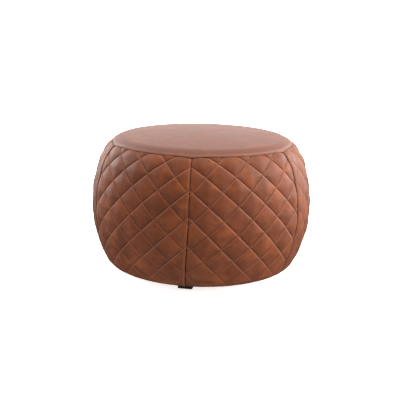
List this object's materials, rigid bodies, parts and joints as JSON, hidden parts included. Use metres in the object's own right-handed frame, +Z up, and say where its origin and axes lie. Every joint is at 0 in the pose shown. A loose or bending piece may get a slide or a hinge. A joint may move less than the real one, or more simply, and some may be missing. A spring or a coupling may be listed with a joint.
{
  "type": "round quilted leather ottoman",
  "caption": "Round barrel-shaped upholstered ottoman with a plain crowned top, diamond-quilted tan-brown leather side panels and low black glides, used as a footstool or low seat.",
  "frame": {"origin": "centre of the object's box on the floor, under the middle of the seat", "axes": "+Z up; the front vertical seam is on the -Y side, and the front glide is 4.5 degrees clockwise of it seen from above"},
  "size_m": [0.6, 0.6, 0.3822],
  "materials": {
    "leather": "satin",
    "quilting_foam": "matte",
    "wadding": "matte",
    "seat_foam": "matte",
    "side_foam": "matte",
    "plywood": "matte",
    "softwood": "matte",
    "hardboard": "matte",
    "dust_cloth": "matte",
    "glide_plastic": "satin",
    "screw_steel": "satin"
  },
  "bodies": {
    "root": {"side_panel_1": "leather", "side_panel_2": "leather", "side_panel_3": "leather", "side_panel_4": "leather", "side_panel_5": "leather", "side_panel_6": "leather", "top_panel": "leather", "quilt_pad_1": "quilting_foam", "quilt_pad_2": "quilting_foam", "quilt_pad_3": "quilting_foam", "quilt_pad_4": "quilting_foam", "quilt_pad_5": "quilting_foam", "quilt_pad_6": "quilting_foam", "seat_wadding": "wadding", "seat_foam": "seat_foam", "side_foam": "side_foam", "seat_board": "plywood", "base_board": "plywood", "post_1": "softwood", "post_2": "softwood", "post_3": "softwood", "post_4": "softwood", "post_5": "softwood", "post_6": "softwood", "drum_wall": "hardboard", "post_screw_lower_1": "screw_steel", "post_screw_lower_2": "screw_steel", "post_screw_lower_3": "screw_steel", "post_screw_lower_4": "screw_steel", "post_screw_lower_5": "screw_steel", "post_screw_lower_6": "screw_steel", "post_screw_upper_1": "screw_steel", "post_screw_upper_2": "screw_steel", "post_screw_upper_3": "screw_steel", "post_screw_upper_4": "screw_steel", "post_screw_upper_5": "screw_steel", "post_screw_upper_6": "screw_steel", "dust_cover": "dust_cloth", "glide_1": "glide_plastic", "glide_2": "glide_plastic", "glide_3": "glide_plastic", "glide_4": "glide_plastic", "glide_screw_1": "screw_steel", "glide_screw_2": "screw_steel", "glide_screw_3": "screw_steel", "glide_screw_4": "screw_steel"}
  },
  "joints": []
}
